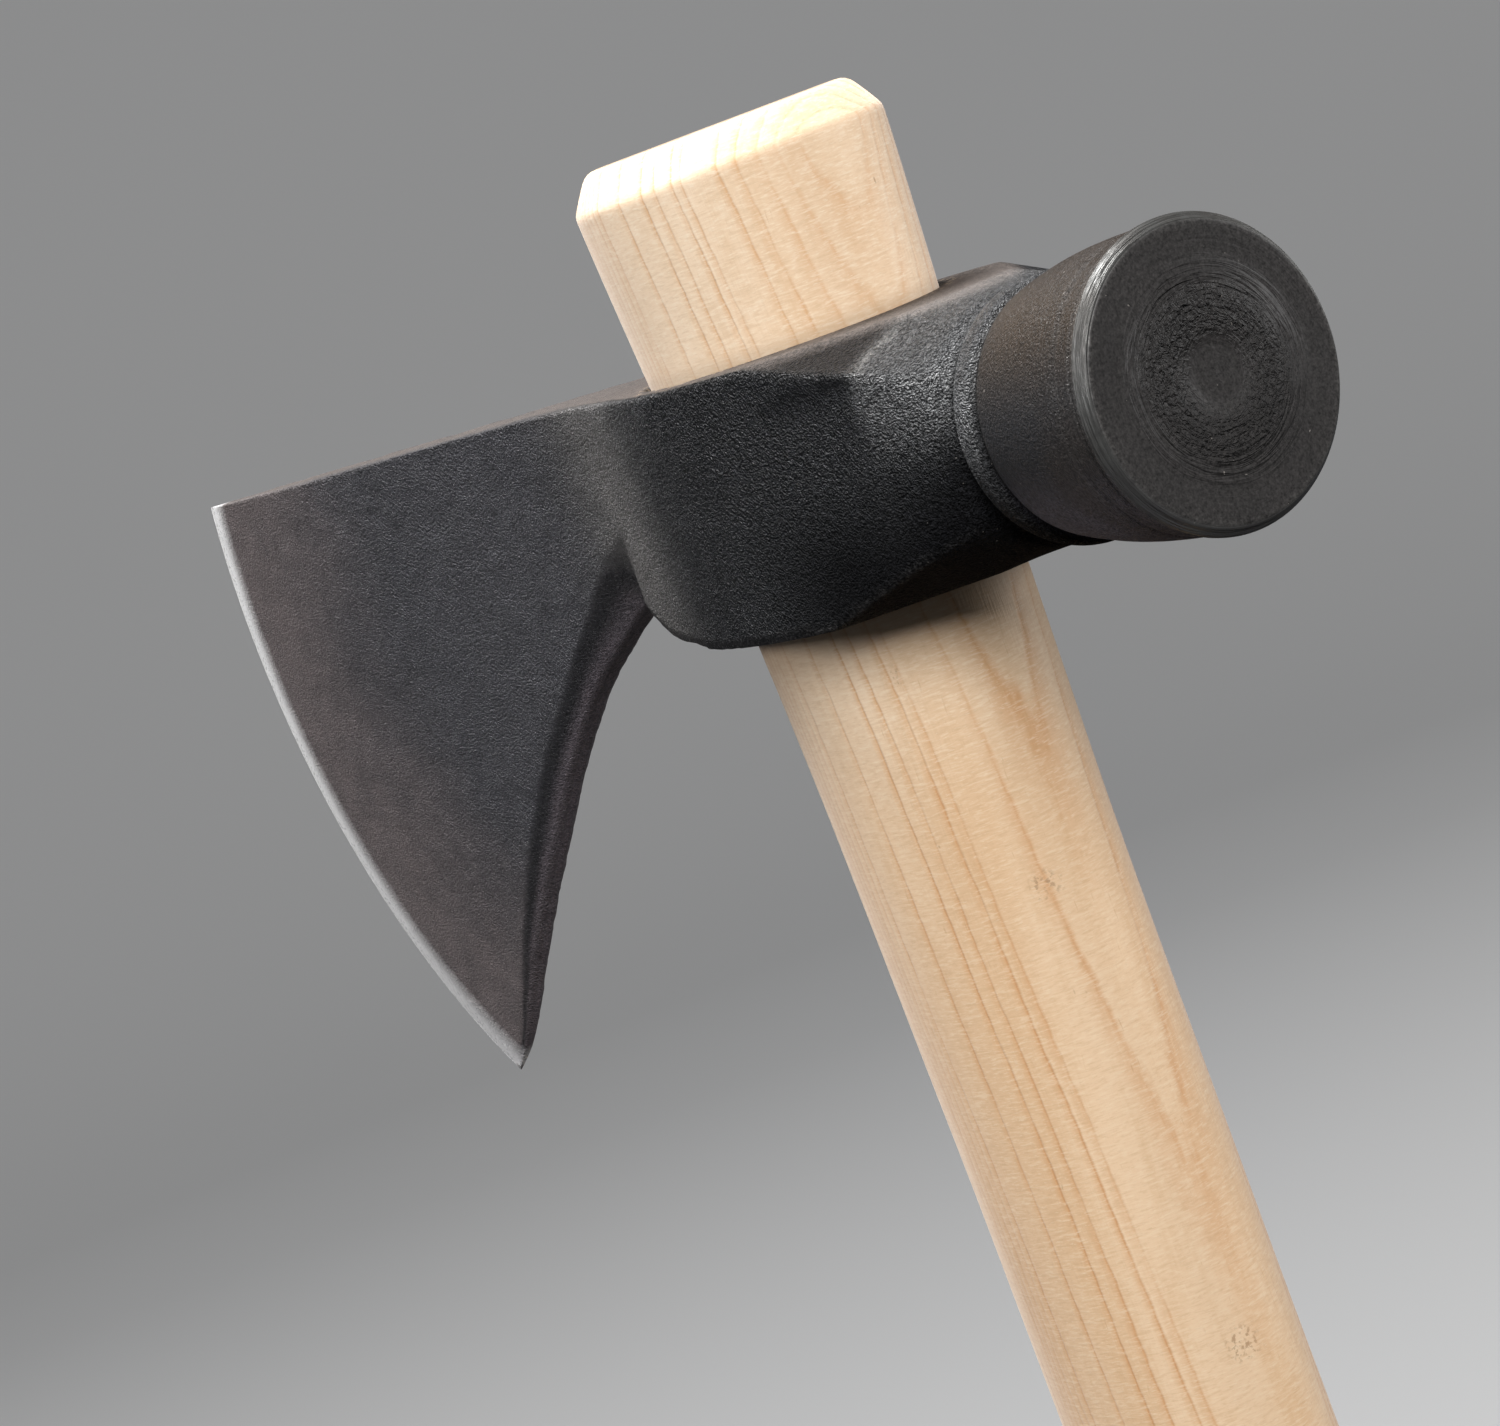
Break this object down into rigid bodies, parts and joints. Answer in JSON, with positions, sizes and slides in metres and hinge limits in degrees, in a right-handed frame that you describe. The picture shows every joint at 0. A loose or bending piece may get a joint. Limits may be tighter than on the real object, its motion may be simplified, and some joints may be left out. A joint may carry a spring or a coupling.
{
  "type": "hammer-poll hatchet",
  "caption": "Bearded hatchet with a round hammer poll; the forged head drops over a straight oval wooden haft and wedges on its swelling top.",
  "frame": {"origin": "centre of the haft's butt end face", "axes": "+Z along the haft towards the head, +X from the haft towards the cutting edge, Y across the cheeks"},
  "size_m": [0.2239, 0.0374, 0.559],
  "materials": {
    "haft": "satin",
    "head": "satin"
  },
  "bodies": {
    "haft": {"haft": "haft"},
    "head": {"head": "head"}
  },
  "joints": [
    {"name": "head_slide", "type": "slide", "parent": "haft", "child": "head", "axis": [0, 0, -1], "range_m": [0, 0.55]}
  ]
}
